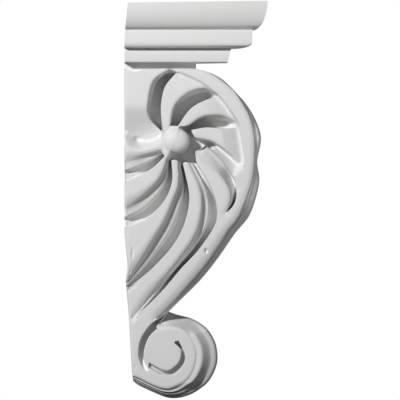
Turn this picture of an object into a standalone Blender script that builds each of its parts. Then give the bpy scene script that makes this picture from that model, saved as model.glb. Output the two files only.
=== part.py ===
"""Wall corbel: a three-member moulded cap over a carved scroll bracket, cast in one piece.

Metres, +Z up. The wall is the plane x = 0 and x runs out from it, y = 0 is the middle of the
width, and z = 0 is the joint between the cap and the scroll. The two carved sides are alike.
"""
import math

import bmesh
import bpy
from mathutils import Vector
from mathutils.geometry import delaunay_2d_cdt

MM = 0.001

# Scroll
SCROLL_HEIGHT = 297 * MM
SCROLL_WIDTH = 76 * MM
DEEP_FLUTE = 20 * MM  # floor of the deepest flute under the side face
BOSS_RADIUS = 11.5 * MM
BOSS_RISE = 4.5 * MM  # how far the boss stands proud of the side face
BOSS_HOLLOW = 11 * MM  # depth of the hollow beside the boss
SCROLL_GROOVE = 14 * MM  # depth of the groove between the turns of the scroll
EYE_GROOVE = 8 * MM
EDGE_ROLL = 2.5 * MM  # drop of the border's rolled outer edge
TURN_ROLL = 1 * MM  # drop of the edge of the scroll's turns
LINE_PITCH = 6 * MM  # distance between the points of a carved line
GROOVE_PITCH = 4 * MM  # the same in the scroll's grooves

# Cap, from the joint upwards
CAP_SEAT = 1.5 * MM  # how deep the neck is sunk into the scroll
NECK_HEIGHT = 6 * MM
NECK_SPLAY = 1 * MM  # height over which the neck spreads to the lowest member
NECK_SETBACK = 9.5 * MM  # neck behind the scroll's side faces
FILLET_HEIGHT = 12.5 * MM  # lowest member
FILLET_PROJECTION = 96 * MM  # from the wall
FILLET_DRAFT = 3 * MM  # its front leans back by this towards the neck
FILLET_OVERHANG = 1.5 * MM  # beyond the scroll's side faces
FASCIA_HEIGHT = 17 * MM
FASCIA_PROJECTION = 115 * MM
FASCIA_OVERHANG = 12 * MM
FASCIA_LIP = 0.2 * MM  # first rise of the fascia's underside, beside the lowest member
FASCIA_UNDERCUT = 4 * MM  # whole rise of the fascia's sloping underside
FASCIA_NOSING = 4.5 * MM  # radius of the fascia's lower edge at the sides
NOSING_STEPS = 3
OVOLO_HEIGHT = 25 * MM
OVOLO_PROJECTION = 13.7 * MM  # beyond the fascia
OVOLO_STEPS = 7

# The carving is set out on a square grid: x steps from the wall, z steps from the joint.
GRID_STEPS = 330
STEP = SCROLL_HEIGHT / GRID_STEPS
HALF = SCROLL_WIDTH / 2
CLOSE = 0.001  # steps within which two points are one
ON_LINE = 0.01  # steps within which a point lies on a straight side
CURVE_PARTS = 12  # straight parts that stand for a curve between two stations
BAND_SHOULDER = 4.5  # steps from the border's outer edge to its flat
TURN_SHOULDER = 2.0  # the same on the scroll's turns
WALL_BACK = ((0, 0), (0, -170), (8, -307.5))  # the foot of the back is set back from the wall
BACK_STATIONS = (-285, -262, -240, -170, -45, -22)
NECK_STATIONS = (0, 22, 44.5, 58)

# Boss, and the rings round it, as shares of its radius. The ring at 1 is the ball's foot. A
# hollow lies on the side that the boss leans to. Ribs spring straight from its other side.
BOSS = Vector((51.8, -72.1))
BOSS_RINGS = (0.3, 0.62, 0.87, 1, 1.12)
RING_SIDES = 8  # least number of points on a ring
BOSS_LEAN = Vector((0.94, -0.34))
HOLLOW_SPREAD = ((-0.2, 0), (0.4, 1))  # cosine of the turn from the lean, share of the hollow's depth

# Rib edges, from the boss outwards. Each flute lies between a soft edge, over which one rib
# rolls into it, and the crisp edge of the rib on its other side.
CREASE = ((35.5, -67.5), (24, -70), (12, -68.5), (5, -63), (0, -61.5))
A_SOFT = ((36.5, -62.5), (24, -48.5), (23.5, -29.5), (29, -11.5), (44.5, -0.5))
A_CRISP = ((38.5, -60.5), (36.5, -39), (40.5, -18.5), (52, -4))
B_SOFT = ((45, -57.5), (49.5, -37), (62.5, -24.5), (79, -19.5), (94, -26.5))
B_CRISP = ((53.5, -57.5), (65.5, -41), (79, -32.5), (94.5, -27.5))
C_SOFT = ((62.5, -57.5), (78, -47.5), (97, -46.5), (113, -53))
C_CRISP = ((66.5, -61.5), (83, -59), (99, -60.5), (113.5, -59))
D_SOFT = ((70.5, -69), (89, -74), (105, -85.5), (117.5, -98.5))
D_CRISP = ((71.5, -78.5), (82.5, -78.5), (95.5, -90), (108.5, -107.5))
E_CRISP = D_CRISP + ((113.2, -119.5), (110.5, -134.5), (103, -143.5))
E_SOFT = ((70.5, -83), (88.5, -99.5), (101.5, -120), (101.5, -143.5))
F_CRISP = ((72.5, -94.5), (88, -121.5), (93, -150), (76.5, -178.5), (55.5, -201.5), (35.5, -225.5),
           (12, -248.5))
F_SOFT = ((63.5, -93.5), (76.5, -126.5), (72, -161.5), (53, -192), (30, -220), (8.5, -249.5))
G_CRISP = ((58.5, -94.5), (65, -132), (54.5, -168), (30.5, -197.5), (0, -221.5))
G_SOFT = ((52, -91.5), (51, -124), (37.5, -154), (19, -181), (0, -211))
H_CRISP = ((47, -91.5), (47.5, -114), (38.5, -134.5), (22.5, -150.5), (0, -160.5))
H_SOFT = ((42.5, -91.5), (32.5, -109), (18, -122.5), (0, -136))
I_CRISP = ((40.5, -87.5), (29.5, -98.5), (16.5, -107), (0, -114))
I_SOFT = ((36.5, -81.5), (25, -84.5), (13.5, -87), (0, -90.5))

# Sections across a flute: share of the way from the crisp to the soft edge, share of the depth.
DEEP_SECTION = ((0.12, 0.85), (0.4, 1.0), (0.78, 0.85))
LEDGE_SECTION = ((0.1, 0.9), (0.28, 1.0), (0.55, 0.48), (0.8, 0.6))
FACET_SECTION = ((0.35, 0.8), (0.75, 1.0))

# Each flute: its edges, its section, and its depth along the way as shares of DEEP_FLUTE.
FLUTES = (
    (A_CRISP, A_SOFT, DEEP_SECTION, ((0.03, 0.6), (0.15, 1.0), (0.8, 1.0), (1, 0.3))),
    (B_CRISP, B_SOFT, DEEP_SECTION, ((0.03, 0.7), (0.15, 1.0), (0.7, 0.9), (0.93, 0.3))),
    (C_CRISP, C_SOFT, DEEP_SECTION, ((0.03, 0.6), (0.2, 0.8), (0.65, 0.6), (0.95, 0.2))),
    (D_CRISP, D_SOFT, FACET_SECTION, ((0.03, 0.55), (0.25, 0.38), (0.5, 0.22), (0.95, 0.15))),
    (E_CRISP, E_SOFT, FACET_SECTION, ((0.05, 0.4), (0.2, 0.16), (0.5, 0.22), (0.75, 0.5), (0.97, 0.3))),
    (F_CRISP, F_SOFT, LEDGE_SECTION, ((0.04, 0.4), (0.2, 0.75), (0.7, 0.65), (0.97, 0.15))),
    (G_CRISP, G_SOFT, LEDGE_SECTION, ((0.03, 0.5), (0.2, 0.8), (0.7, 0.75), (1, 0.35))),
    (H_CRISP, H_SOFT, LEDGE_SECTION, ((0.03, 0.5), (0.2, 0.75), (0.7, 0.65), (1, 0.4))),
    (I_CRISP, I_SOFT, LEDGE_SECTION, ((0.05, 0.35), (0.4, 0.45), (1, 0.3))),
)

# Level of the rib edges along the way, in shares of DEEP_FLUTE, where they aren't at the face.
EDGE_LEVELS = {
    CREASE: ((0, -0.15), (0.4, -0.42), (1, -0.42)),
    A_SOFT: ((0, -0.15), (0.2, -0.1), (0.38, 0), (1, 0)),
    D_SOFT: ((0, 0), (0.4, -0.05), (1, -0.18)),
    D_CRISP: ((0, -0.5), (0.22, -0.1), (0.7, -0.02), (1, 0)),
    E_CRISP: ((0, -0.5), (0.13, -0.1), (0.4, -0.02), (0.6, 0), (1, 0)),
    I_SOFT: ((0, 0), (1, -0.1)),
}

# Crown lines of the ribs: the rib's edges, shares of the way between them, levels along the way.
LEVEL_CROWN = ((0, 0), (1, 0))
CROWNS = (
    (E_SOFT, F_CRISP[:3], (0.5,), LEVEL_CROWN),
    (F_SOFT, G_CRISP, (0.5,), LEVEL_CROWN),
    (G_SOFT, H_CRISP, (0.5,), LEVEL_CROWN),
    (H_SOFT, I_CRISP, (0.5,), LEVEL_CROWN),
    (I_SOFT, CREASE, (0.3, 0.6), ((0, 0), (1, -0.05))),
)

# The same for the ribs that run up to the border and fall to a foot at its bevelled inner edge.
FOOTED_CROWNS = (
    (A_CRISP, B_SOFT, (0.2, 0.5), ((0, 0), (0.5, 0), (1, -0.11))),
    (B_CRISP, C_SOFT, (0.2, 0.5, 0.8), ((0, 0), (0.4, 0), (1, -0.11))),
    (C_CRISP, D_SOFT, (0.2, 0.5, 0.8), ((0, 0), (0.3, -0.01), (1, -0.15))),
)

# Fold across the uppermost rib, under which the rib sinks to the crease.
BLADE_FOLD = ((21, -41), (10, -38.5), (0, -38))

BAND_EDGE = ((57, -3.5), (70, -9), (79, -14), (95, -26.8), (106, -41), (114.5, -54.5), (118, -72),
             (120.5, -90), (118.5, -99.5))

# Mouldings from the edge of the side face to the middle of the width: share of the way out to
# the crest, share of the way in to the middle. With each goes the drop of the edge itself.
PLAIN = (((0.08, 0.10), (0.16, 0.14), (0.3, 0.19), (0.5, 0.27), (0.75, 0.4), (0.95, 0.58), (1, 0.8)),
         EDGE_ROLL)
MOUTH = (((0.04, 0.02), (0.08, 0.04), (0.2, 0.06), (0.45, 0.1), (0.7, 0.25), (0.93, 0.5), (1, 0.75)),
         SCROLL_GROOVE)
HOLLOW = (((0.02, 0.13), (0.04, 0.32), (0.2, 0.35), (0.45, 0.4), (0.7, 0.5), (0.93, 0.65), (1, 0.82)),
          TURN_ROLL)
BEADED = (((0.07, 0.06), (0.17, 0.06), (0.28, 0.13), (0.3, 0.34), (0.58, 0.45), (0.85, 0.53), (1, 0.72)),
          TURN_ROLL)

# Sections of the front, from the neck round the scroll to the foot of the wall: the edge of
# the side face, the crest on the middle of the width, and the moulding between them.
BORDER = (
    ((70, 0), (71.5, 0), PLAIN),
    ((84.5, -4.5), (86, -4), PLAIN),
    ((96.5, -11.5), (98, -10.5), PLAIN),
    ((109.5, -23), (111.5, -23.5), PLAIN),
    ((119.5, -37.5), (122.8, -36.5), PLAIN),
    ((126, -51.5), (131.5, -51.5), PLAIN),
    ((129.5, -69.5), (136.8, -69.5), PLAIN),
    ((129.5, -91.5), (133, -93), PLAIN),
    ((127, -111.5), (135.2, -111.5), PLAIN),
    ((120.5, -131.5), (131, -131.5), PLAIN),
    ((113.5, -147.5), (124, -149), PLAIN),
    ((103, -162), (111, -164.5), PLAIN),
    ((86, -189), (94, -189), PLAIN),
    ((68, -211.5), (76.5, -211), PLAIN),
    ((51.5, -230.5), (56.5, -231), PLAIN),
    ((41, -241.5), (45.5, -242), PLAIN),
    ((32.5, -250), (44, -243), PLAIN),
)
GROOVE_MOUTH = (
    ((31.5, -255), (44, -243.3), MOUTH),
    ((33, -259.8), (44.5, -243.8), HOLLOW),
    ((45.5, -258), (52, -246.5), HOLLOW),
)
TURNS = (
    ((58.5, -261.5), (69, -251.5), HOLLOW),
    ((66, -268.5), (82.5, -261), BEADED),
    ((70.5, -277.5), (90.5, -274), BEADED),
    ((72, -286.5), (93, -287), BEADED),
    ((70.5, -297.5), (92, -297.5), BEADED),
    ((66.5, -306.5), (87, -309), BEADED),
    ((60.5, -313.5), (80, -317.5), BEADED),
    ((50.5, -318.5), (67, -326), BEADED),
    ((43.5, -320.5), (53.5, -330), BEADED),
    ((35.5, -319.5), (41.5, -329.3), BEADED),
)
FOOT = (
    ((25.5, -315.5), (26, -323), BEADED),
    ((13.5, -309.5), (13.5, -317), BEADED),
    ((8, -307.5), (8.5, -313), BEADED),
)
FRONT = BORDER + GROOVE_MOUTH + TURNS + FOOT

# Leaf over the upper front: folds between its lobes, which run down and out from the midrib.
LEAF_FOLDS = (-33, -88)  # grid z of each fold on the midrib
LEAF_SLANT = 16  # how much lower a fold lies at the side
FOLD_REACH = 12  # half of a fold's width
FOLD_DEPTH = 0.45  # share of the rise of the leaf over the side's edge

# Scroll groove between the turns, from its mouth, and the hooked groove round the eye, each
# with the depth along its floor as shares of the groove's depth.
GROOVE_OUTER = ((32.5, -250), (23.5, -258.5), (15.5, -271.5), (13, -286.5), (18, -299.5), (29, -307))
GROOVE_INNER = ((33, -259.8), (24, -269.5), (19.5, -283.5), (21.5, -296.5), (33, -305))
GROOVE_FLOOR = ((0, -1), (0.55, -0.9), (0.8, -0.45), (1, -0.05))
EYE_INNER = ((27, -295), (37.5, -300.5), (46, -301), (54.5, -292.5), (55.5, -280.5), (50.5, -273))
EYE_OUTER = ((27, -295), (39, -306.3), (50, -305.5), (60, -294.5), (59.5, -282.5), (50.5, -273))
EYE_FLOOR = ((0, -0.2), (0.3, -0.7), (0.5, -1), (0.8, -1), (1, -0.4))


def length_of(points):
    return sum((end - start).length for start, end in zip(points, points[1:]))


def curve_through(stations):
    """A smooth curve through the stations, as short straight parts."""
    points = [Vector(station) for station in stations]
    padded = [2 * points[0] - points[1]] + points + [2 * points[-1] - points[-2]]
    curve = []
    for before, start, end, after in zip(padded, padded[1:], padded[2:], padded[3:]):
        for part in range(CURVE_PARTS):
            t = part / CURVE_PARTS
            curve.append(0.5 * (2 * start + (end - before) * t
                                + (2 * before - 5 * start + 4 * end - after) * t * t
                                + (3 * start - before - 3 * end + after) * t ** 3))
    curve.append(points[-1])
    return curve


def divide(curve, count):
    """Points that divide a curve into equal parts."""
    reach = [0.0]
    for start, end in zip(curve, curve[1:]):
        reach.append(reach[-1] + (end - start).length)
    points = []
    spot = 0
    for number in range(count + 1):
        target = reach[-1] * number / count
        while spot < len(curve) - 2 and reach[spot + 1] < target:
            spot += 1
        share = (target - reach[spot]) / (reach[spot + 1] - reach[spot])
        points.append(curve[spot].lerp(curve[spot + 1], min(1.0, share)))
    return points


def smooth_line(stations, pitch):
    """Points along a smooth curve through the stations, about one pitch apart."""
    curve = curve_through(stations)
    return divide(curve, max(2, round(length_of(curve) * STEP / pitch)))


def along(table, t):
    """Value at t in a table of (place, value) pairs, held level past its ends."""
    if t <= table[0][0]:
        return table[0][1]
    for (place, value), (next_place, next_value) in zip(table, table[1:]):
        if t <= next_place:
            return value + (next_value - value) * (t - place) / (next_place - place)
    return table[-1][1]


def wall_x(z):
    """Grid x of the back of the piece at grid height z."""
    return along([(-height, x) for x, height in WALL_BACK], -z)


def to_wall(stations):
    """Stations with an end on the back moved to the back's own x."""
    end_x, end_z = stations[-1]
    return stations[:-1] + ((wall_x(end_z), end_z),) if end_x == 0 else stations


def between(first, second, share, pitch):
    """Points at one share of the way between two edges, matched along their lengths."""
    curves = [curve_through(to_wall(stations)) for stations in (first, second)]
    count = max(2, round(max(length_of(curve) for curve in curves) * STEP / pitch))
    return [start.lerp(end, share) for start, end in zip(*(divide(curve, count) for curve in curves))]


class SideFace:
    """Carved side face as lines of points, each with its level over the face."""

    def __init__(self):
        self.points = []
        self.levels = []
        self.edges = []

    def add_line(self, points, levels, closed=False):
        first = len(self.points)
        self.points.extend(points)
        self.levels.extend(levels)
        last = len(self.points) - 1
        self.edges.extend((number, number + 1) for number in range(first, last))
        if closed:
            self.edges.append((last, first))

    def add_table_line(self, points, table, depth):
        count = len(points) - 1
        self.add_line(points, [depth * along(table, number / count) for number in range(count + 1)])


def edge_level(edge, t):
    """Level of a rib edge at t, in shares of DEEP_FLUTE."""
    return along(EDGE_LEVELS[edge], t) if edge in EDGE_LEVELS else 0.0


def carve_flutes(face):
    edges = {edge for flute in FLUTES for edge in flute[:2]} | {CREASE}
    for edge in sorted(edges - {D_CRISP}):
        table = EDGE_LEVELS.get(edge, LEVEL_CROWN)
        face.add_table_line(smooth_line(to_wall(edge), LINE_PITCH), table, DEEP_FLUTE)
    for crisp, soft, section, depths in FLUTES:
        at_wall = crisp[-1][0] == 0
        for share, part in section:
            line = between(crisp, soft, share, LINE_PITCH)
            count = len(line) - 1
            levels = []
            for number in range(1, count + at_wall):
                t = number / count
                rim = edge_level(crisp, t) * (1 - share) + edge_level(soft, t) * share
                levels.append(DEEP_FLUTE * (rim - part * along(depths, t)))
            face.add_line(line[1:count + at_wall], levels)


def carve_ribs(face):
    fold = smooth_line(BLADE_FOLD, LINE_PITCH)
    face.add_line(fold, [0.0] * len(fold))
    for first, second, shares, table in CROWNS:
        blunt_end(face, first, second)
        for share in shares:
            face.add_table_line(between(first, second, share, LINE_PITCH)[1:-1], table, DEEP_FLUTE)
    for first, second, shares, table in FOOTED_CROWNS:
        blunt_end(face, first, second)
        lines = [between(first, second, share, LINE_PITCH)[1:] for share in shares]
        for line in lines:
            line[-1] = line[-2].lerp(line[-1], 0.5)
            face.add_table_line(line, table, DEEP_FLUTE)
        foot = along(table, 1) * DEEP_FLUTE
        face.add_line([line[-1] for line in lines], [foot] * len(lines))


def blunt_end(face, first, second):
    """The end of a rib at the boss, straight across from edge to edge."""
    face.add_line([Vector(edge[0]) for edge in (first, second)],
                  [DEEP_FLUTE * edge_level(edge, 0) for edge in (first, second)])


def carve_boss(face):
    """The ball, with the hollow on the side it leans to."""
    boss_radius = BOSS_RADIUS / STEP
    for share in BOSS_RINGS:
        count = max(RING_SIDES, round(math.tau * BOSS_RADIUS * share / GROOVE_PITCH))
        ring = [BOSS + boss_radius * share * Vector((math.cos(turn), math.sin(turn)))
                for turn in (math.tau * number / count for number in range(count))]
        levels = []
        for point in ring:
            hollow = -BOSS_HOLLOW * along(HOLLOW_SPREAD, (point - BOSS).normalized().dot(BOSS_LEAN))
            if share <= 1:
                ball = BOSS_RISE - BOSS_RADIUS * (1 - math.sqrt(1 - share * share))
                hollow = max(ball, hollow)
            levels.append(hollow)
        face.add_line(ring, levels, closed=True)
    face.add_line([BOSS], [BOSS_RISE])


def carve_scroll(face):
    for edge in (GROOVE_OUTER, GROOVE_INNER, EYE_INNER, EYE_OUTER):
        line = smooth_line(edge, GROOVE_PITCH)[1:]
        face.add_line(line, [0.0] * len(line))
    floor = between(GROOVE_INNER, GROOVE_OUTER, 0.5, GROOVE_PITCH)[1:]
    face.add_table_line(floor, GROOVE_FLOOR, SCROLL_GROOVE)
    hook = between(EYE_INNER, EYE_OUTER, 0.5, GROOVE_PITCH)[1:-1]
    face.add_table_line(hook, EYE_FLOOR, EYE_GROOVE)


def carve_band(face):
    line = smooth_line(BAND_EDGE, LINE_PITCH)
    face.add_line(line, [0.0] * len(line))
    for part, inset in ((BORDER, BAND_SHOULDER), (TURNS, TURN_SHOULDER)):
        edge = smooth_line([section[0] for section in part], LINE_PITCH)
        shoulder = []
        for before, after in zip(edge, edge[1:]):
            way = (after - before).normalized()
            shoulder.append((before + after) / 2 + inset * Vector((way.y, -way.x)))
        face.add_line(shoulder, [0.0] * len(shoulder))


def fold_share(height, inward):
    """How deep a point of the front lies in a fold of the leaf, from 0 to 1."""
    nearest = min(abs(height - fold + LEAF_SLANT * (1 - inward)) for fold in LEAF_FOLDS)
    return max(0.0, 1 - nearest / FOLD_REACH) * math.sin(math.pi * inward)


def front_sections():
    """Edge, crest, moulding rows and edge drop at points along the front."""
    sections = []
    for start, end in zip(FRONT, FRONT[1:]):
        parts = max(1, round((Vector(end[0]) - Vector(start[0])).length * STEP / LINE_PITCH))
        for number in range(parts):
            t = number / parts
            edge, crest = (Vector(start[side]).lerp(Vector(end[side]), t) for side in (0, 1))
            rows = []
            for first, second in zip(start[2][0], end[2][0]):
                out, inward = Vector(first).lerp(Vector(second), t)
                rows.append((out * (1 - FOLD_DEPTH * fold_share(edge.y, inward)), inward))
            sections.append((edge, crest, rows, start[2][1] + (end[2][1] - start[2][1]) * t))
    edge, crest, (rows, drop) = FRONT[-1]
    sections.append((Vector(edge), Vector(crest), rows, drop))
    return sections


def outline_points(sections):
    """The side face's outline, clockwise from the neck, with the level of each point."""
    outline = [section[0] for section in sections]
    levels = [0.0] + [-section[3] for section in sections[1:]]
    back = [Vector((wall_x(z), z)) for z in BACK_STATIONS]
    top = [Vector((x, 0)) for x in NECK_STATIONS]
    return outline + back + top, levels + [0.0] * (len(back) + len(top))


def side_mesh(face):
    """Mesh of the carved side face, triangulated between its lines."""
    points, _, faces, sources, *_ = delaunay_2d_cdt(face.points, face.edges, [], 1, CLOSE)
    mesh = bmesh.new()
    for point, numbers in zip(points, sources):
        near = numbers or [min(range(len(face.points)), key=lambda n: (face.points[n] - point).length)]
        level = min(face.levels[number] for number in near)
        mesh.verts.new((point.x * STEP, -HALF - level, point.y * STEP))
    mesh.verts.ensure_lookup_table()
    for corners in faces:
        mesh.faces.new([mesh.verts[number] for number in corners])
    return mesh


def section_at(point, sections):
    """Crest and moulding of the front beside a point of the outline."""
    on_back = abs(point.x - wall_x(point.y)) < ON_LINE and point.y > FRONT[-1][0][1] + CLOSE
    if on_back or abs(point.y) < ON_LINE:
        return point, PLAIN[0]
    nearest = min(sections, key=lambda section: (section[0] - point).length)
    return nearest[1], nearest[2]


def extrude_front(mesh, sections):
    """Carry the outline over the front, the back and the top to the middle of the width."""
    rim = [edge for edge in mesh.edges if edge.is_boundary]
    starts = {vert: vert.co.copy() for edge in rim for vert in edge.verts}
    plans = {vert: section_at(Vector((co.x, co.z)) / STEP, sections) for vert, co in starts.items()}
    current = {vert: vert for vert in starts}
    for number in range(len(PLAIN[0]) + 1):
        before = {vert: origin for origin, vert in current.items()}
        made = bmesh.ops.extrude_edge_only(mesh, edges=rim)["geom"]
        fresh = {item for item in made if isinstance(item, bmesh.types.BMVert)}
        rim = [item for item in made if isinstance(item, bmesh.types.BMEdge)
               and all(vert in fresh for vert in item.verts)]
        places = {}
        for vert in fresh:
            origin = next(before[edge.other_vert(vert)] for edge in vert.link_edges
                          if edge.other_vert(vert) in before and edge.calc_length() < CLOSE * STEP)
            crest, rows = plans[origin]
            out, inward = rows[number] if number < len(rows) else (1.0, 1.0)
            start = starts[origin]
            spot = Vector((start.x, start.z)).lerp(crest * STEP, out)
            places[vert] = (spot.x, start.y * (1 - inward), spot.y)
            current[origin] = vert
        for vert, place in places.items():
            vert.co = place


def scroll_object():
    face = SideFace()
    sections = front_sections()
    outline, levels = outline_points(sections)
    face.add_line(outline, levels, closed=True)
    for carve in (carve_band, carve_flutes, carve_ribs, carve_boss, carve_scroll):
        carve(face)
    mesh = side_mesh(face)
    extrude_front(mesh, sections)
    bmesh.ops.recalc_face_normals(mesh, faces=mesh.faces)
    data = bpy.data.meshes.new("corbel")
    mesh.to_mesh(data)
    mesh.free()
    scroll = bpy.data.objects.new("corbel", data)
    mirror = scroll.modifiers.new("other side", "MIRROR")
    mirror.use_axis = (False, True, False)
    mirror.use_clip = True
    mirror.merge_threshold = 0.00001
    return scroll


def cap_levels():
    """The cap's profile from the neck up: height, projection and half width of each level."""
    neck_x = BORDER[0][1][0] * STEP
    neck_y = HALF - NECK_SETBACK
    fillet_top = NECK_HEIGHT + FILLET_HEIGHT
    fillet_y = HALF + FILLET_OVERHANG
    fascia_top = fillet_top + FASCIA_HEIGHT
    fascia_y = HALF + FASCIA_OVERHANG
    levels = [(-CAP_SEAT, neck_x, neck_y), (NECK_HEIGHT - NECK_SPLAY, neck_x, neck_y),
              (NECK_HEIGHT, FILLET_PROJECTION - FILLET_DRAFT, fillet_y),
              (fillet_top, FILLET_PROJECTION, fillet_y)]
    for number in range(NOSING_STEPS + 1):
        turn = math.pi / 2 * number / NOSING_STEPS
        rise = FASCIA_LIP + (FASCIA_UNDERCUT - FASCIA_LIP) * (1 - math.cos(turn))
        levels.append((fillet_top + rise,
                       FILLET_PROJECTION + (FASCIA_PROJECTION - FILLET_PROJECTION) * math.sin(turn),
                       fascia_y - FASCIA_NOSING * (1 - math.sin(turn))))
    levels.append((fascia_top, FASCIA_PROJECTION, fascia_y))
    for number in range(1, OVOLO_STEPS + 1):
        turn = math.pi / 2 * number / OVOLO_STEPS
        out = OVOLO_PROJECTION * math.sin(turn)
        levels.append((fascia_top + OVOLO_HEIGHT * (1 - math.cos(turn)),
                       FASCIA_PROJECTION + out, fascia_y + out))
    return levels


def cap_corners(level):
    height, projection, half = level
    return [(0, -half, height), (projection, -half, height),
            (projection, half, height), (0, half, height)]


def cap_object():
    mesh = bmesh.new()
    levels = cap_levels()
    face = mesh.faces.new([mesh.verts.new(corner) for corner in cap_corners(levels[0])])
    for number, level in enumerate(levels[1:]):
        made = bmesh.ops.extrude_face_region(mesh, geom=[face])["geom"]
        if number > 0:
            bmesh.ops.delete(mesh, geom=[face], context="FACES_ONLY")
        face = next(item for item in made if isinstance(item, bmesh.types.BMFace))
        for vert, corner in zip(face.verts, cap_corners(level)):
            vert.co = corner
    bmesh.ops.recalc_face_normals(mesh, faces=mesh.faces)
    data = bpy.data.meshes.new("cap")
    mesh.to_mesh(data)
    mesh.free()
    return bpy.data.objects.new("cap", data)


def primed_white():
    material = bpy.data.materials.new("primed white")
    material.use_nodes = True
    shader = material.node_tree.nodes["Principled BSDF"]
    shader.inputs["Base Color"].default_value = (0.80, 0.80, 0.80, 1)
    shader.inputs["Roughness"].default_value = 0.6
    shader.inputs["Metallic"].default_value = 0.0
    return material


def main():
    for item in list(bpy.data.objects):
        bpy.data.objects.remove(item, do_unlink=True)
    parts = bpy.data.collections.new("corbel")
    cutters = bpy.data.collections.new("cutters")
    for collection in (parts, cutters):
        bpy.context.scene.collection.children.link(collection)
    scroll = scroll_object()
    cap = cap_object()
    parts.objects.link(scroll)
    cutters.objects.link(cap)
    cap.hide_render = True
    cap.display_type = "WIRE"
    join = scroll.modifiers.new("cap", "BOOLEAN")
    join.operation = "UNION"
    join.solver = "EXACT"
    join.object = cap
    scroll.data.materials.append(primed_white())
    cap.data.materials.append(scroll.data.materials[0])


main()
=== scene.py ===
import math

import bmesh
import bpy
import numpy as np
from mathutils import Matrix, Vector, noise
from mathutils.geometry import delaunay_2d_cdt
from mathutils.kdtree import KDTree


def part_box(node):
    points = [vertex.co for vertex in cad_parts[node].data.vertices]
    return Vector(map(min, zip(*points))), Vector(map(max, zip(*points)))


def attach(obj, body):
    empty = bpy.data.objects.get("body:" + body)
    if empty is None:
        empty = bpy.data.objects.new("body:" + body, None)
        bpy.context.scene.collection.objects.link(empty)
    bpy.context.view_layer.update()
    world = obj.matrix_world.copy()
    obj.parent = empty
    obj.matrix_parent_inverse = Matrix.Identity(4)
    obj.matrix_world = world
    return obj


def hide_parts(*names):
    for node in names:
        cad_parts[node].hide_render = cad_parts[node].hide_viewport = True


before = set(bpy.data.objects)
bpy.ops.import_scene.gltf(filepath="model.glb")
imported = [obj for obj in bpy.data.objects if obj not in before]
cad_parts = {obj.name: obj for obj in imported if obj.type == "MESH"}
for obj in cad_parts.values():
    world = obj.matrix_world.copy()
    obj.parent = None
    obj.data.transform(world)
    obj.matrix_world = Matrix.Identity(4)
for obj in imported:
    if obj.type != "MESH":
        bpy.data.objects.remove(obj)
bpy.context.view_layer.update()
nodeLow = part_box("corbel")[0]
print("frame loaded")

scene = bpy.context.scene
scene.view_settings.view_transform = "Standard"
mm = 0.001


def addObject(name, data):
    item = bpy.data.objects.new(name, data)
    scene.collection.objects.link(item)
    return item


def meshObject(name, mesh):
    data = bpy.data.meshes.new(name)
    mesh.to_mesh(data)
    mesh.free()
    return addObject(name, data)


# The camera stands far off, square to the carved side.
shot = {
    "distance": 9.0,  # from the carved side
    "frameWidth": 0.36,  # what the picture takes in at that distance
    "middle": (0.06795, -0.11835),  # x and z at the picture's middle
    "sensor": 36,
    "clipEnd": 40,
}


def aim(item, spot):
    item.rotation_euler = (Vector(spot) - item.location).to_track_quat("-Z", "Y").to_euler()


def addCamera(plan, face):
    data = bpy.data.cameras.new("camera")
    data.sensor_width = plan["sensor"]
    data.lens = plan["sensor"] * plan["distance"] / plan["frameWidth"]
    data.clip_end = plan["clipEnd"]
    camera = addObject("camera", data)
    x, z = plan["middle"]
    camera.location = (x, -face - plan["distance"], z)
    aim(camera, (x, 0, z))
    scene.camera = camera


# The carved scroll. Plans are in steps: x out from the wall, z up from the joint under the cap.
# Levels are in mm over the flat of the side face.
scroll = {
    "steps": 330,  # from the joint to the lowest point
    "halfWidth": 0.038,
    "fluteDepth": 27.0,
    "grooveDepth": 14.0,
    "eyeDepth": 12.0,
    "linePitch": 1.1,
    "fill": 1.3,  # spacing of the points between the lines
    "groovePitch": 0.9, "searchPitch": 0.5, "regionPitch": 0.6,
    "bossRadius": 11.5,
    "bossRise": 4.5,
    "bossHeight": 9.5,
    "bossPower": 2.3,  # over 2 the boss is flatter than a ball
    "bossWall": 300,  # how steeply the wall under the boss drops
    "bossFillet": (6.5, 1.5),  # towards the ribs that spring from it and in the hollow
    "filletTurn": 4,  # the fillet is tight where the hollow has more than one part in this many of its depth
    "bossRings": (0.12, 0.24, 0.36, 0.48, 0.59, 0.69, 0.78, 0.86, 0.92, 0.965, 1.0, 1.05, 1.12),
    "bossSides": 8,  # fewest points of a ring
    "hollow": 26.0,
    "hollowFrom": -0.2, "hollowSoft": 0.6,  # where it begins, by the side of the boss, and how softly
    "castNoise": 0.12, "noiseScale": 0.35,
    "seenSide": -0.02,  # y in metres up to which the flaws of the cast go in
    "sharpAngle": 48,  # degrees between faces past which an edge stays sharp
}
step = -nodeLow.z / scroll["steps"]
boss = Vector((51.8, -72.1))
bossLean = Vector((0.94, -0.34))

# Edges of the ribs, from the boss outwards.
crease = ((38, -62.5), (34, -67.5), (25, -71), (15, -71), (8, -66), (4, -62.5), (0, -61.5))
aSoft = ((36.5, -62.5), (24, -48.5), (23.5, -29.5), (29, -11.5), (44.5, -0.5))
aCrisp = ((38.5, -60.5), (36.5, -39), (40.5, -18.5), (52, -4))
bSoft = ((45, -57.5), (49.5, -37), (62.5, -24.5), (79, -19.5), (94, -26.5))
bCrisp = ((53.5, -57.5), (65.5, -41), (79, -32.5), (94.5, -27.5))
cSoft = ((62.5, -57.5), (78, -47.5), (97, -46.5), (113, -53))
cCrisp = ((66.5, -61.5), (83, -59), (99, -60.5), (113.5, -59))
dSoft = ((70.5, -69), (89, -74), (105, -85.5), (117.5, -98.5))
dCrisp = ((71, -82.2), (77, -80), (82.5, -78.2), (95.5, -90), (108.5, -107.5))
eCrisp = dCrisp + ((112.6, -119.5), (110.5, -134.5), (102.2, -144.8))
eSoft = ((70.5, -83), (85.5, -97.5), (99, -111), (105.8, -124), (105, -135), (101.5, -144))
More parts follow.
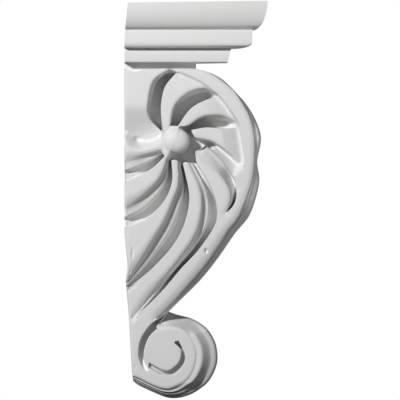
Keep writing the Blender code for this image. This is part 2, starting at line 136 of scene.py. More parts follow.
fCrisp = ((72.5, -94.5), (88, -121.5), (93, -150), (76.5, -178.5), (55.5, -201.5), (35.5, -225.5),
          (12, -248.5))
fSoft = ((63.5, -93.5), (76.5, -126.5), (72, -161.5), (53, -192), (30, -220), (8.5, -249.5))
gCrisp = ((58.5, -94.5), (65, -132), (54.5, -168), (30.5, -197.5), (0, -221.5))
gSoft = ((53, -91.5), (54, -106.5), (53, -118.5), (48, -131.5), (39.5, -151.5), (27.5, -171.5),
         (15.5, -191.5), (0, -213))
hCrisp = ((47, -91.5), (47.5, -114), (38.5, -134.5), (22.5, -150.5), (0, -160.5))
hSoft = ((41.5, -91.5), (38.5, -101.5), (33, -111.5), (23, -121.5), (11.5, -131.5), (0, -137))
iCrisp = ((40.5, -87.5), (29.5, -98.5), (16.5, -107), (0, -114))
iSoft = ((36.5, -81.5), (25, -84.5), (13.5, -87), (0, -90.5))
bandEdge = ((57, -3.5), (70, -9), (79, -14), (95, -26.8), (106, -41), (114.5, -54.5), (118, -72),
            (120.5, -90), (118.5, -99.5))

# Across a flute: share of the way from the crisp to the soft edge, share of the depth.
deepNear = ((0, 1), (0.82, 1), (0.88, 0.85), (0.94, 0.3), (0.97, 0.12), (1, 0))
deepFar = ((0, 1), (0.62, 1), (0.7, 0.8), (0.77, 0.35), (0.84, 0.18), (1, 0))
ledgeNear = ((0, 1), (0.42, 1), (0.47, 0.8), (0.52, 0.42), (0.56, 0.34), (0.75, 0.3), (0.88, 0.19),
             (1, 0))
ledgeFar = ((0, 1), (0.38, 1), (0.44, 0.8), (0.49, 0.46), (0.53, 0.38), (0.7, 0.33), (0.82, 0.27),
            (0.92, 0.12), (1, 0))
openNear = ((0, 0.9), (0.1, 1), (0.85, 1), (0.95, 0.6), (1, 0))
openFar = ((0, 0), (0.12, 0.2), (0.45, 0.6), (0.75, 1), (0.9, 0.75), (1, 0))
closing = ((0, 0.5), (0.1, 0.95), (0.25, 1), (0.5, 0.7), (0.75, 0.35), (1, 0))
# Sections near the boss and far from it, and the share of the way over which one becomes the other.
deepSection = (deepNear, deepFar, 0.25, 0.5)
ledgeSection = (ledgeNear, ledgeFar, 0.2, 0.4)
openSection = (openNear, openFar, 0.28, 0.14)
closeSection = (closing, closing, 0, 1)

# Each flute: its edges, its section and its depth along the way in shares of the flute depth.
flutes = (
    (aCrisp, aSoft, deepSection, ((0, 1.0), (0.85, 1.05), (0.95, 0.8), (1, 0.5))),
    (bCrisp, bSoft, deepSection, ((0, 1.0), (0.75, 0.95), (0.92, 0.45), (1, 0.1))),
    (cCrisp, cSoft, deepSection, ((0, 0.95), (0.7, 0.9), (0.85, 0.6), (0.95, 0.3), (1, 0.05))),
    (dCrisp, dSoft, openSection, ((0, 0.95), (0.28, 0.85), (0.42, 0.35), (0.6, 0.28), (0.85, 0.12), (1, 0))),
    (eCrisp, eSoft, closeSection, ((0, 0.05), (0.2, 0.15), (0.4, 0.35), (0.6, 0.75), (0.92, 0.7), (1, 0))),
    (fCrisp, fSoft, ledgeSection, ((0, 0.3), (0.1, 0.35), (0.25, 0.8), (0.6, 0.9), (0.85, 0.4), (1, 0))),
    (gCrisp, gSoft, ledgeSection, ((0, 0.9), (0.65, 1.0), (0.85, 0.75), (1, 0.5))),
    (hCrisp, hSoft, ledgeSection, ((0, 0.9), (0.6, 0.9), (0.85, 0.65), (1, 0.4))),
    (iCrisp, iSoft, ledgeSection, ((0, 0.8), (0.4, 0.8), (0.7, 0.5), (1, 0.3))),
)
# Rib edges that leave the face: share of the way out, level in shares of the flute depth.
edgeLevels = {
    dSoft: ((0, 0), (0.4, -0.04), (0.8, -0.04), (1, 0)),
    dCrisp: ((0, -0.05), (0.7, -0.05), (1, -0.03)),
    eCrisp: ((0, -0.05), (0.4, -0.05), (0.6, -0.02), (1, 0)),
}
# How wide each soft edge rolls over, along its way.
softReach = {
    aSoft: ((0, 1.5), (1, 1.5)),
    bSoft: ((0, 2), (1, 3)),
    cSoft: ((0, 2.5), (1, 3)),
    dSoft: ((0, 3), (1, 4)),
    eSoft: ((0, 3), (0.3, 6), (1, 5)),
    fSoft: ((0, 3), (0.5, 4), (0.7, 5), (0.85, 8), (1, 6)),
    gSoft: ((0, 2.5), (0.5, 3.5), (0.75, 6), (1, 14)),
    hSoft: ((0, 2.5), (0.5, 4), (1, 11)),
    iSoft: ((0, 3), (0.5, 5), (1, 8)),
}
softDrop = 0.3  # mm that a soft edge sinks for each step of its reach
worn = {"reach": 0.7, "drop": 0.15}  # crisp edges
ringEdges = (aSoft, aCrisp, bSoft, bCrisp, cSoft, cCrisp, dSoft, dCrisp, eSoft, fCrisp, fSoft, gCrisp,
             gSoft, hCrisp, hSoft, iCrisp, iSoft, crease)  # in turn round the boss
ribStarts = (1, 3, 5, 8, 10, 12, 14)  # sides of that ring where a rib begins
ribEnd = {"sink": 0.4, "gap": 0.45, "share": 0.85, "least": 1}  # its blunt end over the hollow
footEdges = (aCrisp, bSoft, bCrisp, cSoft, cCrisp, dSoft)  # ribs that sink to the border
# Fall of those ribs, in mm, by how far they are from the border: the first one's and the others'.
footFalls = (((0, 0), (1.5, -1.6), (3.5, -2.6), (6, -1.2), (19, 0)),
             ((0, 0), (1.2, -3.6), (2.6, -6), (8, -4), (19, 0)))
foot = {"turnover": -27, "soft": 4, "end": 5}
blade = {"fold": -39, "soft": 5, "slope": 0.44}  # the uppermost rib sinks below its fold
bladeEdges = (crease, aSoft)
creaseRise = ((0, 5), (0.3, 8), (0.6, 12), (1, 16))  # how far the last rib takes to rise out of it
rollDrops = ((0, 1.4), (131, 1.4), (189, 3), (250, 3), (262, 1), (320, 1))  # mm, at the border's edge
rollReach = ((0, 3.5), (60, 4.5), (120, 5.5), (150, 7), (190, 9), (240, 9), (262, 2.5), (320, 2.5))
backRoll = {"reach": 2.8, "drop": 2.2}  # steps over which the back edge rounds off, mm that it drops
lineSinks = {"rib": 0.08, "groove": 0.2}  # mm that a crisp line lies under the face

# How a flute or groove is laid out in rows of points, in steps.
carving = {
    "parts": 26,  # places across a row
    "rowPitch": 1.0,
    "closedFrom": 0.6,  # a wider end has a line across
    "narrowest": 0.7,  # a narrower row has no points
    "wall": ((0.2, 0.5), (0.42, 0.9)),  # off the crisp edge, share of the way down to the floor
    "wallShare": 0.06, "wallLimit": 0.4,  # where the floor is read, and the most of the row that it takes
    "wallBack": 0.3, "wallFree": 0.15,
    "pitch": 0.55, "rim": 0.3, "back": 0.4, "free": 0.3,
    "mouth": 1.2,  # how far the hollow round the boss reaches into it
    "grooveStart": 0.04, "groovePitch": 0.3, "grooveRim": 0.2, "grooveFree": 0.2,
}

# Worn top edge of the side face at the wall: its height by the distance from the wall.
topEdge = ((0, -1), (4, -1.4), (8, -3.2), (13, -3.3), (16, -1.6), (25, -0.4), (36, 0))

# Back of the foot: how far it is set back from the wall, down from the joint.
backTable = ((0, 0), (105, 0), (140, 1.4), (157, 1.3), (172, 0.8), (180, 1.4), (198, 3), (211, 1.3),
             (223, 2.1), (244, 4), (276, 5.9), (304, 7.4), (311, 8.2))

# Mouldings of the front, from the edge of the side face to the middle: share of the way out to
# the crest, share of the way in. With each goes the drop of the edge itself in mm, or None where
# the edge drops as the border's roll does.
plain = (((0.1, 0.07), (0.25, 0.1), (0.4, 0.13), (0.55, 0.165), (0.75, 0.21), (0.93, 0.27), (1, 0.5)),
         None)
stepped = (((0.04, 0.1), (0.14, 0.14), (0.34, 0.155), (0.45, 0.2), (0.7, 0.27), (0.93, 0.35), (1, 0.6)),
           None)
mouth = (((0.04, 0.02), (0.08, 0.04), (0.2, 0.06), (0.45, 0.1), (0.7, 0.25), (0.93, 0.5), (1, 0.75)), 14)
sloped = (((0.12, 0.09), (0.28, 0.22), (0.45, 0.36), (0.6, 0.48), (0.75, 0.6), (0.9, 0.72), (1, 0.9)), 0.6)
beaded = (((0.06, 0.03), (0.2, 0.024), (0.32, 0.06), (0.5, 0.175), (0.68, 0.275), (0.95, 0.35),
           (1, 0.62)), 1.2)
under = (((0.14, 0.08), (0.32, 0.09), (0.4, 0.15), (0.58, 0.17), (0.66, 0.24), (0.9, 0.3), (1, 0.6)), 1.2)

border = (
    ((70, 0), (71.5, 0), plain),
    ((84.5, -4.5), (86, -4), plain),
    ((96.5, -11.5), (98, -10.5), plain),
    ((109.5, -23), (111.5, -23.5), plain),
    ((119.5, -37.5), (122.8, -36.5), plain),
    ((126, -51.5), (131.5, -51.5), plain),
    ((129.5, -69.5), (136.8, -69.5), plain),
    ((129.5, -91.5), (133, -93), plain),
    ((127, -111.5), (135.2, -111.5), plain),
    ((120.5, -131.5), (131, -131.5), plain),
    ((113.5, -147.5), (124, -149), stepped),
    ((103, -162), (111, -164.5), stepped),
    ((86, -189), (94, -189), stepped),
    ((68, -211.5), (76.5, -211), stepped),
    ((51.5, -230.5), (56.5, -231), stepped),
    ((41, -241.5), (45.5, -242), stepped),
    ((32.5, -250), (44, -243), stepped),
)
grooveMouth = (
    ((31.5, -255), (44, -243.3), mouth),
    ((33, -259.8), (44.5, -243.8), sloped),
    ((45.5, -258), (52, -246.5), sloped),
)
turns = (
    ((58.5, -261.5), (69, -251.5), sloped),
    ((66, -268.5), (82.5, -261), beaded),
    ((70.5, -277.5), (90.5, -274), beaded),
    ((72, -286.5), (93, -287), beaded),
    ((70.5, -297.5), (92, -297.5), beaded),
    ((66.5, -306.5), (87, -309), beaded),
    ((60.5, -313.5), (80, -317.5), beaded),
    ((50.5, -318.5), (67, -326), under),
    ((43.5, -320.5), (53.5, -330), under),
    ((35.5, -319.5), (41.5, -329.3), under),
)
footing = (
    ((25.5, -315.5), (26, -323), under),
    ((13.5, -309.5), (13.5, -317), under),
    ((8, -307.5), (8.5, -313), under),
)
front = border + grooveMouth + turns + footing
frontParts = 4  # rows of faces between two stations of a moulding
backRows = {"count": 3, "inward": 0.03, "wallFrom": -170}  # under wallFrom the back stands off the wall

# Points of the outline: up the back, finely where the flutes run out over it, then out along the top.
backLine = {"fine": 1.1, "coarse": 3.5, "fineFrom": -252, "fineTo": -58, "gap": 0.7, "end": -1.6, "top": 3}

grooveOuter = ((32.5, -250), (23.5, -258.5), (15.5, -271.5), (13.5, -286.5), (17, -297.5), (22, -303.5))
grooveInner = ((33, -259.8), (24, -269.5), (19.5, -283.5), (20.5, -292.5), (24.5, -301))
eyeInner = ((24.5, -294), (31, -297.5), (39, -301), (46, -300.5), (54.5, -292.5), (56, -281.5), (49.5, -274))
eyeOuter = ((25, -299.5), (31, -303.3), (39, -306.5), (50, -305.5), (60, -294.5), (60, -284), (54, -272))
grooveSection = ((0, 0.6), (0.2, 0.95), (0.5, 1), (0.85, 0.95), (1, 0.6))
eyeSection = ((0, 0.55), (0.2, 0.9), (0.5, 1), (0.75, 0.85), (1, 0.1))
grooveFloor = ((0, 1), (0.5, 0.95), (0.7, 0.75), (0.85, 0.5), (1, 0.25))
eyeFloor = ((0, 0.3), (0.15, 0.55), (0.35, 0.85), (0.5, 1), (0.9, 1), (1, 0.6))

# Leaf on the front, down its length: half its width as a share of the scroll's half width.
leaf = {
    "widths": ((0, 0.8), (12, 0.88), (24, 0.86), (34, 0.6), (42, 0.58), (52, 0.8), (66, 0.88), (82, 0.84),
               (92, 0.56), (100, 0.52), (110, 0.72), (124, 0.74), (138, 0.58), (152, 0.3), (160, 0)),
    "edge": 0.06, "least": 0.02, "narrow": 0.1,
    "end": 158, "fade": 14,
    "folds": (33, 92), "slant": 18, "foldReach": 8, "foldFrom": 0.1,
    "ground": 0.6,  # steps that the ground round the leaf lies under it
    "groundEdge": 0.84, "groundSoft": 0.08,
    "crown": 0.3, "crownFall": 2,
    "vein": 0.5, "veinPitch": 10, "veinSlant": 30, "veinWidth": 0.16, "veinFrom": 0.08, "veinSoft": 0.1,
    "rib": 0.075, "ribWidth": 0.03,
    "lift": 0.85,
}

# Flaws of the cast: place, reach across and along, depth in mm.
flaws = (
    ((81.5, -182.5), 2.2, 3.2, 3.5), ((66, -123.5), 1.0, 1.2, 0.6), ((66.5, -129), 0.9, 1.2, 0.5),
    ((63.5, -141.5), 1.4, 1.4, 1.6), ((96.5, -138.5), 0.9, 1.0, 0.5), ((103.5, -146.5), 0.8, 0.8, 0.5),
    ((107.5, -145.5), 0.8, 0.8, 0.5), ((9.5, -107.5), 1.6, 1.2, 2.0), ((8, -185), 1.4, 8.5, 1.6),
    ((5.5, -203), 1.0, 6.0, 1.2), ((11, -298), 1.0, 2.2, 1.4), ((113.5, -121), 1.6, 1.2, 1.5),
    ((13, -71.5), 6.0, 5.0, 3.0),
)


def lengthOf(points):
    return sum((end - start).length for start, end in zip(points, points[1:]))


def slopes(points):
    # tangents at the points, never longer than the shorter span beside them
    padded = [2 * points[0] - points[1]] + points + [2 * points[-1] - points[-2]]
    found = []
    for before, here, after in zip(padded, padded[1:], padded[2:]):
        slope = (after - before) / 2
        limit = min((here - before).length, (after - here).length)
        found.append(slope * min(1.0, limit / slope.length) if slope.length > 0 else slope)
    return found


def spanPoint(start, end, slope, nextSlope, t):
    return (start * (2 * t ** 3 - 3 * t ** 2 + 1) + slope * (t ** 3 - 2 * t ** 2 + t)
            + end * (3 * t ** 2 - 2 * t ** 3) + nextSlope * (t ** 3 - t ** 2))


def curveThrough(stations, parts=12):
    points = [Vector(station) for station in stations]
    padded = [2 * points[0] - points[1]] + points + [2 * points[-1] - points[-2]]
    tangents = [(after - before) / 2 for before, after in zip(padded, padded[2:])]
    curve = [spanPoint(points[n], points[n + 1], tangents[n], tangents[n + 1], part / parts)
             for n in range(len(points) - 1) for part in range(parts)]
    return curve + [points[-1]]


def divide(curve, count):
    reach = [0.0]
    for start, end in zip(curve, curve[1:]):
        reach.append(reach[-1] + (end - start).length)
    points = []
    spot = 0
    for number in range(count + 1):
        target = reach[-1] * number / count
        while spot < len(curve) - 2 and reach[spot + 1] < target:
            spot += 1
        share = (target - reach[spot]) / max(1e-9, reach[spot + 1] - reach[spot])
        points.append(curve[spot].lerp(curve[spot + 1], min(1.0, share)))
    return points


def smoothLine(stations, pitch):
    curve = curveThrough(stations)
    return divide(curve, max(2, round(lengthOf(curve) / pitch)))


def eased(table, t):
    # a smooth curve through the table's pairs that never overshoots them
    if t <= table[0][0]:
        return table[0][1]
    if t >= table[-1][0]:
        return table[-1][1]
    n = next(n for n in range(len(table) - 1) if t <= table[n + 1][0])
    rises = [(table[k + 1][1] - table[k][1]) / (table[k + 1][0] - table[k][0]) for k in range(len(table) - 1)]

    def slopeAt(k):
        if k == 0 or k == len(table) - 1:
            return rises[0 if k == 0 else -1]
        left, right = rises[k - 1], rises[k]
        return 0.0 if left * right <= 0 else 2 * left * right / (left + right)

    width = table[n + 1][0] - table[n][0]
    return spanPoint(table[n][1], table[n + 1][1], slopeAt(n) * width, slopeAt(n + 1) * width,
                     (t - table[n][0]) / width)


def ramp(value):
    t = min(1.0, max(0.0, value))
    return t * t * (3 - 2 * t)


def backX(z):
    return eased(backTable, -z)


def toBack(stations):
    endX, endZ = stations[-1]
    return stations[:-1] + ((backX(endZ), endZ),) if endX == 0 else stations


def footFall(point):
    gap = gapTo(lines["band"], point)
    first, second = (eased(table, gap) for table in footFalls)
    share = ramp((point.y - foot["turnover"]) / foot["soft"])
    return (share * first + (1 - share) * second) * ramp((point.y - bandEdge[-1][1]) / foot["end"])


def bladeFall(point):
    down = blade["fold"] - point.y
    return -blade["slope"] * (max(0.0, down) + max(0.0, blade["soft"] - abs(down)) ** 2 / 4 / blade["soft"])


def creaseFall(point):
    # the rib that springs from the boss towards the wall rises out of the crease
    tree, last = lines[crease], lines["last"][crease]
    place, number, gap = tree.find((point.x, point.y, 0))
    return bladeFall(place) * (1 - ramp(gap / eased(creaseRise, number / last)))


def edgeLevel(edge, t, point):
    level = scroll["fluteDepth"] * eased(edgeLevels[edge], t) if edge in edgeLevels else 0.0
    if edge in bladeEdges:
        level += bladeFall(point)
    if edge in footEdges:
        level += footFall(point)
    return level - (softDrop * eased(softReach[edge], t) if edge in softReach else 0.0)


def inside(points, polygon):
    # which of an array of points lie in a polygon
    x, z = points[:, 0], points[:, 1]
    within = np.zeros(len(points), bool)
    for start, end in zip(polygon, polygon[1:] + polygon[:1]):
        if start.y == end.y:
            continue
        crosses = (z > min(start.y, end.y)) & (z <= max(start.y, end.y))
        within ^= crosses & (x < start.x + (z - start.y) * (end.x - start.x) / (end.y - start.y))
    return within


def treeOf(points):
    tree = KDTree(len(points))
    for number, point in enumerate(points):
        tree.insert((point[0], point[1], 0), number)
    tree.balance()
    return tree


def gapTo(tree, point):
    return tree.find((point[0], point[1], 0))[2]


class Sheet:
    # points of the side face with their levels, and the lines that the faces keep to
    def __init__(self):
        self.points, self.levels, self.edges = [], [], []
        self.cells = {}

    def add(self, point, level):
        self.points.append(point)
        self.levels.append(level)
        self.cells.setdefault((math.floor(point.x), math.floor(point.y)), []).append(point)

    def addLine(self, points, levels, closed=False):
        first = len(self.points)
        for point, level in zip(points, levels):
            self.add(point, level)
        last = len(self.points) - 1
        self.edges.extend((number, number + 1) for number in range(first, last))
        if closed:
            self.edges.append((last, first))

    def isFree(self, point, gap):
        x, z = math.floor(point.x), math.floor(point.y)
        for cell in ((x + i, z + j) for i in (-1, 0, 1) for j in (-1, 0, 1)):
            if any((other - point).length_squared < gap * gap for other in self.cells.get(cell, ())):
                return False
        return True

    def addFree(self, point, level, gap):
        if self.isFree(point, gap):
            self.add(point, level)


def hollowLevel(point):
    # the hollow lies to the front of the boss and under it; ribs spring from its other side
    lean = (point - boss).normalized().dot(bossLean) if (point - boss).length > 0 else 0.0
    return -scroll["hollow"] * ramp((lean - scroll["hollowFrom"]) / scroll["hollowSoft"])


def bossLevel(point):
    # a button with rounded edges over the hollow, whose wall drops straight at its foot
    share = (point - boss).length * step / (scroll["bossRadius"] * mm)
    power = scroll["bossPower"]
    ball = scroll["bossRise"] - scroll["bossHeight"] * (1 - max(0.0, 1 - share ** power) ** (1 / power))
    hollow = hollowLevel(point)
    wide, tight = scroll["bossFillet"]
    soft = wide + (tight - wide) * min(1.0, -scroll["filletTurn"] * hollow / scroll["hollow"])
    return merged(ball - scroll["bossWall"] * max(0.0, share - 1), hollow, soft)


def merged(first, second, soft):
    # the higher of two levels, with a fillet where they meet
    gap = max(0.0, soft - abs(first - second)) / soft
    return max(first, second) + gap * gap * soft / 4


def fluteLevel(flute, share, t, point, reach, ends):
    # share is across from the crisp edge, t along, and reach the length from the boss's end
    crisp, soft, section, depths = flute
    rim = edgeLevel(crisp, t, ends[0]) * (1 - share) + edgeLevel(soft, t, ends[1]) * share
    depth = eased(depths, t) * scroll["fluteDepth"]
    near, far, begin, over = section
    weight = ramp((t - begin) / over)
    level = rim - (eased(near, share) * (1 - weight) + eased(far, share) * weight) * depth
    opening = 1 - ramp(reach / carving["mouth"])
    return level * (1 - opening) + opening * min(hollowLevel(point), level)


def matched(first, second, pitch):
    # two edges divided into the same number of parts
    curves = [curveThrough(toBack(stations)) for stations in (first, second)]
    count = max(4, round(max(lengthOf(curve) for curve in curves) / pitch))
    return [divide(curve, count) for curve in curves]


shares = [n / carving["parts"] for n in range(1, carving["parts"])]


def closeFlute(sheet, flute, start, end, t):
    parts = max(2, round((end - start).length))
    first, last = edgeLevel(flute[0], t, start), edgeLevel(flute[1], t, end)
    row = [start.lerp(end, part / parts) for part in range(parts + 1)]
    levels = [first + (last - first) * part / parts for part in range(parts + 1)]
    if t == 0:
        levels = [min(level, hollowLevel(point)) for level, point in zip(levels, row)]
    sheet.addLine(row, levels)


def carveFlute(sheet, flute):
    crispLine, softLine = matched(flute[0], flute[1], carving["rowPitch"])
    count = len(crispLine) - 1
    length = lengthOf(crispLine)
    atBack = flute[0][-1][0] == 0
    for number in (0,) if atBack else (0, count):
        start, end = crispLine[number], softLine[number]
        if (end - start).length > carving["closedFrom"]:
            closeFlute(sheet, flute, start, end, number / count)
    for number in range(1, count):
        t = number / count
        ends = start, end = crispLine[number], softLine[number]
        width = (end - start).length
        if width < carving["narrowest"]:
            continue
        for gap, part in carving["wall"]:
            share = gap / width
            point = start.lerp(end, share)
            if share < carving["wallLimit"] and point.x > backX(point.y) + carving["wallBack"]:
                rim = edgeLevel(flute[0], t, start)
                floor = fluteLevel(flute, carving["wallShare"], t, point, t * length, ends)
                sheet.addFree(point, rim + (floor - rim) * part, carving["wallFree"])
        last = carving["wall"][-1][0]
        for share in shares:
            if share * width - last < carving["pitch"] or (1 - share) * width < carving["rim"]:
                continue
            last = share * width
            point = start.lerp(end, share)
            if point.x > backX(point.y) + carving["back"]:
                sheet.addFree(point, fluteLevel(flute, share, t, point, t * length, ends), carving["free"])
    return crispLine + softLine[::-1]


def carveGroove(sheet, inner, outer, section, floor, depth):
    innerLine, outerLine = matched(inner, outer, scroll["groovePitch"])
    count = len(innerLine) - 1
    for number in range(1, count):
        start, end = innerLine[number], outerLine[number]
        width = (end - start).length
        deep = depth * eased(floor, number / count)
        last = 0.0
        for share in [carving["grooveStart"]] + shares:
            if share * width - last < carving["groovePitch"] or (1 - share) * width < carving["grooveRim"]:
                continue
            last = share * width
            sheet.addFree(start.lerp(end, share), -deep * eased(section, share), carving["grooveFree"])
    return innerLine + outerLine[::-1]


def softLevel(point):
    # how far the ribs have rolled over beside their soft edges
    level = 0.0
    for edge, reaches in softReach.items():
        tree, last = lines[edge], lines["last"][edge]
        _, number, gap = tree.find((point.x, point.y, 0))
        reach = eased(reaches, number / last)
        if gap < reach:
            level -= softDrop * reach * (1 - gap / reach) ** 2
    gap = gapTo(lines["crisp"], point)
    if gap < worn["reach"]:
        level -= worn["drop"] * (1 - gap / worn["reach"]) ** 2
    return level


lines = {}


def layOut(outline):
    # search trees of the lines that the levels depend on
    pitch = scroll["searchPitch"]
    lines["outline"] = treeOf(outline)
    lines["last"] = {}
    for edge in list(softReach) + [crease]:
        points = smoothLine(toBack(edge), pitch)
        lines[edge] = treeOf(points)
        lines["last"][edge] = len(points) - 1
    crisps = [flute[0] for flute in flutes] + [grooveInner, grooveOuter, eyeInner, eyeOuter]
    lines["crisp"] = treeOf([point for edge in crisps for point in smoothLine(toBack(edge), pitch)])
    lines["band"] = treeOf(smoothLine(bandEdge, pitch))


def flawLevel(point):
    level = 0.0
    for place, across, along, depth in flaws:
        away = math.hypot((point.x - place[0]) / across, (point.y - place[1]) / along)
        if away < 1:
            level -= depth * (1 - away * away) ** 2
    return level


def frontSections():
    edges = [Vector(station[0]) for station in front]
    crests = [Vector(station[1]) for station in front]
    edgeSlopes, crestSlopes = slopes(edges), slopes(crests)
    sections = []
    for n in range(len(front) - 1):
        parts = max(1, round((edges[n + 1] - edges[n]).length / scroll["linePitch"]))
        for part in range(parts):
            t = part / parts
            edge = spanPoint(edges[n], edges[n + 1], edgeSlopes[n], edgeSlopes[n + 1], t)
            crest = spanPoint(crests[n], crests[n + 1], crestSlopes[n], crestSlopes[n + 1], t)
            sections.append((edge, crest, n, t))
    sections.append((edges[-1], crests[-1], len(front) - 2, 1.0))
    return sections


def edgeDrop(n, t, z):
    first, second = front[n][2][1], front[n + 1][2][1]
    first, second = (eased(rollDrops, -z) if drop is None else drop for drop in (first, second))
    return first + (second - first) * t


def sectionRows(section, normal):
    # places of one section of the front, from the edge inwards: plan point, share of the way in
    edge, crest, n, t = section
    first, second = front[n][2][0], front[n + 1][2][0]
    drop = edgeDrop(n, t, edge.y) * mm / scroll["halfWidth"]
    stations = [Vector((0, drop))] + [Vector(a).lerp(Vector(b), t) for a, b in zip(first, second)]
    stations.append(Vector((1, 1)))
    tangents = slopes(stations)
    leafy = (plain[0], stepped[0])
    plainShare = (1 if second in leafy else 1 - t) if first in leafy else 0
    rows = []
    for k in range(len(stations) - 1):
        for part in range(1, frontParts + 1):
            share = part / frontParts
            out, inward = spanPoint(stations[k], stations[k + 1], tangents[k], tangents[k + 1], share)
            sink = 0.0
            if plainShare:
                out, sink = leafed(out, inward, -edge.y, plainShare)
            rows.append((edge.lerp(crest, out) - normal * sink, inward))
    return rows


def leafed(out, inward, down, weight):
    # how far out the leaf, or the ground round it, lies, and how far it is sunk
    side = 1 - inward
    width = eased(leaf["widths"], down)
    within = ramp((width - side) / leaf["edge"]) if width > leaf["least"] else 0.0
    fade = ramp((leaf["end"] - down) / leaf["fade"]) * weight
    ground = leaf["ground"] * (1 - ramp((side - leaf["groundEdge"]) / leaf["groundSoft"])) * (1 - within)
    lobe = 1 - leaf["crown"] * (side / max(leaf["narrow"], width)) ** 2 if within else 0
    fold = max(max(0.0, 1 - abs(down - place - leaf["slant"] * side) / leaf["foldReach"])
               for place in leaf["folds"])
    phase = (down - leaf["veinSlant"] * side) / leaf["veinPitch"]
    vein = math.exp(-((phase - round(phase)) / leaf["veinWidth"]) ** 2)
    vein = vein * ramp((side - leaf["veinFrom"]) / leaf["veinSoft"]) * leaf["vein"]
    rib = math.exp(-((side - leaf["rib"]) / leaf["ribWidth"]) ** 2) * leaf["vein"]
    dip = within * (fold ** 2 * ramp(side / leaf["foldFrom"]) + vein + rib + (1 - lobe) * leaf["crownFall"])
    sink = fade * (ground + dip)
    lifted = out + (max(out, leaf["lift"]) - out) * within * fade
    return lifted, sink


def outlineOf(sections):
    outline = [section[0] for section in sections]
    ends = {stations[-1][1] for flute in flutes for stations in flute[:2] if stations[-1][0] == 0}
    ends = sorted(ends | {crease[-1][1]})
    z = front[-1][0][1]
    back = []
    while z < backLine["end"]:
        z += backLine["fine" if backLine["fineFrom"] < z < backLine["fineTo"] else "coarse"]
        near = min(ends, key=lambda end: abs(end - z))
        if z < backLine["end"] and abs(near - z) > backLine["gap"]:
            back.append(Vector((backX(z), z)))
    back += [Vector((backX(end), end)) for end in ends]
    back.sort(key=lambda point: point.y)
    top = [Vector((x, eased(topEdge, x))) for x in range(0, border[0][0][0], backLine["top"])]
    return outline + back + top, len(outline), len(back)


outflow = {"inset": 0.02, "corner": 0.08, "far": 99}  # of a flute at the back


def backLevel(z):
    # level of the side's back edge, which the lower flutes run out over
    for flute in flutes:
        low, high = flute[0][-1], flute[1][-1]
        if low[0] == 0 and low[1] <= z <= high[1]:
            share = (z - low[1]) / (high[1] - low[1])
            across = min(1 - outflow["inset"], max(outflow["inset"], share))
            ends = (Vector(low), Vector(high))
            level = fluteLevel(flute, across, 1.0, Vector((0, z)), outflow["far"], ends)
            return level * min(1.0, share / outflow["corner"])
    point = Vector((0, z))
    if z > crease[-1][1]:
        return softLevel(point) + bladeFall(point)
    return softLevel(point) + (creaseFall(point) if z > iSoft[-1][1] else 0.0)


regionFalls = {"blade": bladeFall, "foot": footFall, "last": creaseFall}


def faceLevel(point, region):
    # ribs and border away from the flutes
    height = softLevel(point)
    if region:
        height += regionFalls[region](point)
    gap = gapTo(lines["outline"], point)
    reach = eased(rollReach, -point.y)
    if gap < reach:
        height -= eased(rollDrops, -point.y) * (1 - gap / reach) ** 2
    gap = point.x - backX(point.y)
    if gap < backRoll["reach"]:
        lean = 1 - max(0.0, gap) / backRoll["reach"]
        height -= backRoll["drop"] * (1 - math.sqrt(1 - lean * lean))
    grain = noise.noise(Vector((point.x, point.y, 3)) * scroll["noiseScale"])
    return height + scroll["castNoise"] * grain


def addOutline(sheet, sections):
    outline, frontCount, backCount = outlineOf(sections)
    layOut(outline[:frontCount])
    drops = []
    for number, point in enumerate(outline):
        if number < frontCount:
            n, t = sections[number][2:]
            drops.append(-edgeDrop(n, t, point.y) if number else 0.0)
        elif number < frontCount + backCount:
            drops.append(backLevel(point.y) - backRoll["drop"])
        else:
            drops.append(0.0)
    sheet.addLine(outline, drops, closed=True)
    return outline


def addEdges(sheet):
    edges = {edge for flute in flutes for edge in flute[:2]} - {dCrisp} | {crease}
    for edge in sorted(edges):
        line = smoothLine(toBack(edge), scroll["linePitch"])
        last = len(line) - 1
        sheet.addLine(line, [edgeLevel(edge, number / last, point) - lineSinks["rib"]
                             for number, point in enumerate(line)])
    line = smoothLine(bandEdge, scroll["linePitch"])
    sheet.addLine(line, [0.0] * len(line))
    for edge in (grooveOuter, grooveInner, eyeInner, eyeOuter):
        line = smoothLine(edge, scroll["groovePitch"])[1:]
        sheet.addLine(line, [-lineSinks["groove"]] * len(line))


def addRibEnds(sheet, ring):
    # blunt ends of the ribs at the hollow
    for number in ribStarts:
        start, end = ring[number], ring[(number + 1) % len(ring)]
        if hollowLevel((start + end) / 2) < -ribEnd["least"]:
            parts = max(2, round((end - start).length))
            row = [start.lerp(end, part / parts) for part in range(parts + 1)]
            sheet.addLine(row, [-ribEnd["sink"]] * len(row))
            for point in row[1:-1]:
                near = point + (boss - point).normalized() * ribEnd["gap"]
                sheet.addFree(near, ribEnd["share"] * hollowLevel(near), carving["grooveFree"])


def addBoss(sheet):
    radius = scroll["bossRadius"] * mm / step
    sheet.add(boss.copy(), scroll["bossRise"])
    for share in scroll["bossRings"]:
        sides = max(scroll["bossSides"], round(math.tau * radius * share / scroll["linePitch"]))
        for number in range(sides):
            turn = math.tau * (number + 0.5 * (sides % 2)) / sides
            point = boss + radius * share * Vector((math.cos(turn), math.sin(turn)))
            sheet.addFree(point, bossLevel(point), carving["back"])


# Points of the open face: a field of rows, and finer lines beside the back edge and the border.
field = {
    "x": (-1, 140), "z": (-331, 1), "row": 0.866,
    "backZ": (-300.0, -1), "backGaps": (0.45, 1.1, 2.0),
    "bandPitch": 0.9, "bandGaps": (0.7, 1.4, 2.2, 3.0),
    "free": 0.55,
}


